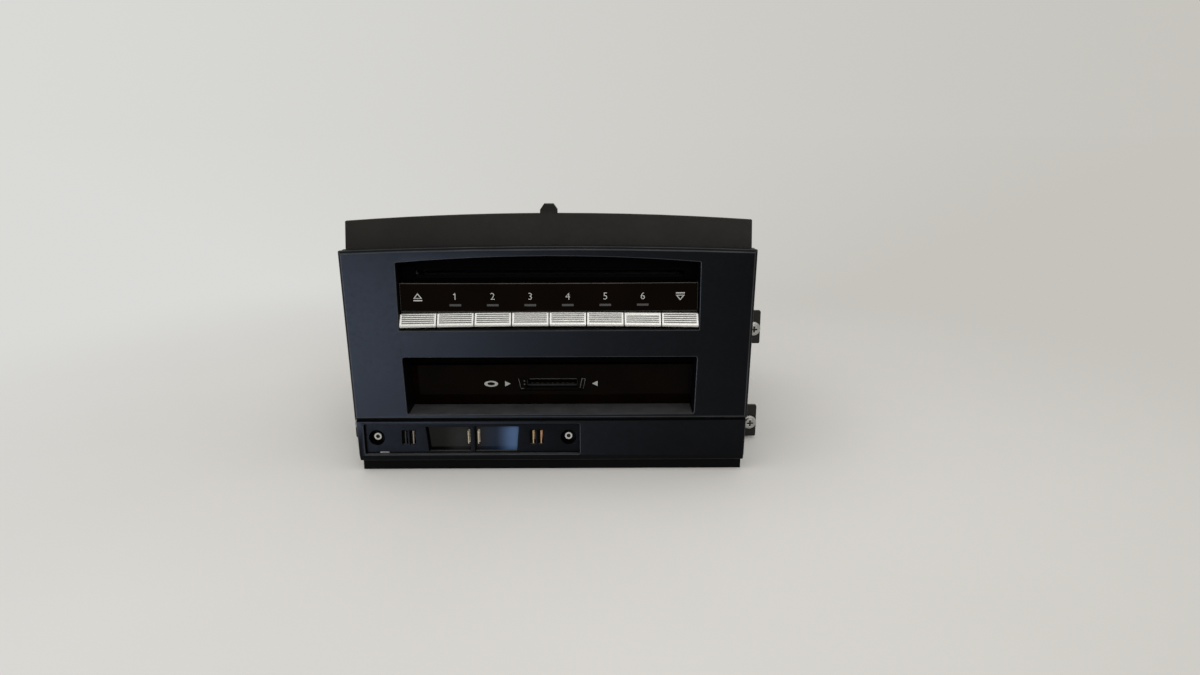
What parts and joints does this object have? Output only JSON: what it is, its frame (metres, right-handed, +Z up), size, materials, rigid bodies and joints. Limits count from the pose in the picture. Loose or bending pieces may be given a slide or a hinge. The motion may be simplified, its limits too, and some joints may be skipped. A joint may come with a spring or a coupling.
{
  "type": "car navigation radio",
  "caption": "Dash-mounted navigation radio with a disc changer: arched fascia, disc mouth over a row of ridged keys, memory card slot, steel housing and side ears",
  "frame": {"origin": "middle of the bounding box's bottom face", "axes": "+X is the right of the driver facing the unit, +Y goes into the dash, +Z is up"},
  "size_m": [0.2134, 0.173, 0.1279],
  "materials": {
    "fascia_black": "fine-grained moulded black",
    "visor_black": "plain moulded black",
    "gloss_black": "gloss, brown-black",
    "key_silver": "satin silver paint",
    "light_guide": "clear moulding",
    "lip_rubber": "soft black rubber",
    "inner_plastic": "plain moulded dark grey",
    "mat_rubber": "grey silicone rubber",
    "board": "green circuit board",
    "board_black": "black circuit board",
    "sheet_steel": "zinc-coated sheet",
    "bracket_black": "black painted sheet",
    "screw_steel": "zinc-coated steel",
    "brass": "bright brass strip",
    "socket_black": "moulded black",
    "socket_blue": "moulded blue",
    "nylon": "natural nylon",
    "roller_rubber": "black rubber",
    "motor_steel": "plated motor can"
  },
  "bodies": {
    "unit": {"front_panel": "fascia_black", "lower_panel": "fascia_black", "bay_plate": "fascia_black", "carrier_frame": "visor_black", "label_strip": "gloss_black", "card_panel": "gloss_black", "bay_windows": "gloss_black", "light_guide": "light_guide", "dust_lips": "lip_rubber", "slot_mask": "inner_plastic", "key_guide": "inner_plastic", "card_carrier": "inner_plastic", "disc_guide": "inner_plastic", "fan_frame": "inner_plastic", "key_mat": "mat_rubber", "key_board": "board", "main_board": "board", "card_board": "board_black", "chassis_tray": "sheet_steel", "top_cover": "sheet_steel", "rear_plate": "sheet_steel", "mechanism_frame": "sheet_steel", "left_bracket": "bracket_black", "right_bracket": "bracket_black", "bay_screws": "screw_steel", "fascia_screws": "screw_steel", "ear_screws": "screw_steel", "bracket_screws": "screw_steel", "case_screws": "screw_steel", "guide_rods": "screw_steel", "spring_clips": "brass", "power_socket": "socket_black", "optical_socket": "socket_black", "card_socket": "socket_black", "antenna_sockets": "socket_blue", "loading_motor": "motor_steel", "spindle_motor": "motor_steel", "sled_motor": "motor_steel"},
    "eject_key": {"eject_key": "key_silver"},
    "disc_key_1": {"disc_key_1": "key_silver"},
    "disc_key_2": {"disc_key_2": "key_silver"},
    "disc_key_3": {"disc_key_3": "key_silver"},
    "disc_key_4": {"disc_key_4": "key_silver"},
    "disc_key_5": {"disc_key_5": "key_silver"},
    "disc_key_6": {"disc_key_6": "key_silver"},
    "load_key": {"load_key": "key_silver"},
    "card_slider": {"card_slider": "nylon"},
    "motor_pinion": {"motor_pinion": "brass"},
    "turntable": {"turntable": "inner_plastic"},
    "pickup_sled": {"pickup_sled": "inner_plastic"},
    "lead_screw": {"lead_screw": "screw_steel"},
    "fan_rotor": {"fan_rotor": "inner_plastic"},
    "loading_roller": {"loading_roller": "roller_rubber", "roller_gear": "nylon"},
    "tray_stack": {"disc_tray_1": "inner_plastic", "disc_tray_2": "inner_plastic", "disc_tray_3": "inner_plastic", "disc_tray_4": "inner_plastic", "disc_tray_5": "inner_plastic", "disc_tray_6": "inner_plastic"}
  },
  "joints": [
    {"name": "eject_key_press", "type": "slide", "parent": "unit", "child": "eject_key", "axis": [0, 1, 0], "range_m": [0, 0.0012], "stiffness_N_per_m": 600},
    {"name": "disc_key_1_press", "type": "slide", "parent": "unit", "child": "disc_key_1", "axis": [0, 1, 0], "range_m": [0, 0.0012], "stiffness_N_per_m": 600},
    {"name": "disc_key_2_press", "type": "slide", "parent": "unit", "child": "disc_key_2", "axis": [0, 1, 0], "range_m": [0, 0.0012], "stiffness_N_per_m": 600},
    {"name": "disc_key_3_press", "type": "slide", "parent": "unit", "child": "disc_key_3", "axis": [0, 1, 0], "range_m": [0, 0.0012], "stiffness_N_per_m": 600},
    {"name": "disc_key_4_press", "type": "slide", "parent": "unit", "child": "disc_key_4", "axis": [0, 1, 0], "range_m": [0, 0.0012], "stiffness_N_per_m": 600},
    {"name": "disc_key_5_press", "type": "slide", "parent": "unit", "child": "disc_key_5", "axis": [0, 1, 0], "range_m": [0, 0.0012], "stiffness_N_per_m": 600},
    {"name": "disc_key_6_press", "type": "slide", "parent": "unit", "child": "disc_key_6", "axis": [0, 1, 0], "range_m": [0, 0.0012], "stiffness_N_per_m": 600},
    {"name": "load_key_press", "type": "slide", "parent": "unit", "child": "load_key", "axis": [0, 1, 0], "range_m": [0, 0.0012], "stiffness_N_per_m": 600},
    {"name": "card_slider_push", "type": "slide", "parent": "unit", "child": "card_slider", "axis": [0, 1, 0], "range_m": [0, 0.0025], "stiffness_N_per_m": 200},
    {"name": "roller_spin", "type": "hinge", "parent": "unit", "child": "loading_roller", "pos_m": [0, -0.05555, 0.09081], "axis": [1, 0, 0], "continuous": true},
    {"name": "pinion_spin", "type": "hinge", "parent": "unit", "child": "motor_pinion", "pos_m": [0.0683, -0.05555, 0.08069], "axis": [1, 0, 0], "continuous": true},
    {"name": "tray_stack_lower", "type": "slide", "parent": "unit", "child": "tray_stack", "axis": [0, 0, -1], "range_m": [0, 0.0135]},
    {"name": "turntable_spin", "type": "hinge", "parent": "unit", "child": "turntable", "pos_m": [0, 0.01045, 0.06], "axis": [0, 0, 1], "continuous": true},
    {"name": "pickup_travel", "type": "slide", "parent": "unit", "child": "pickup_sled", "axis": [-1, 0, 0], "range_m": [0, 0.026]},
    {"name": "lead_screw_spin", "type": "hinge", "parent": "unit", "child": "lead_screw", "pos_m": [-0.035, 0.03045, 0.057], "axis": [1, 0, 0], "range_deg": [0, 2345]},
    {"name": "fan_spin", "type": "hinge", "parent": "unit", "child": "fan_rotor", "pos_m": [0.05865, 0.07445, 0.036], "axis": [0, 1, 0], "continuous": true}
  ],
  "couplings": [
    {"joint": "pinion_spin", "follows": "roller_spin", "ratio": -1.7778},
    {"joint": "lead_screw_spin", "follows": "pickup_travel", "rad_per_m": 1570.8}
  ]
}
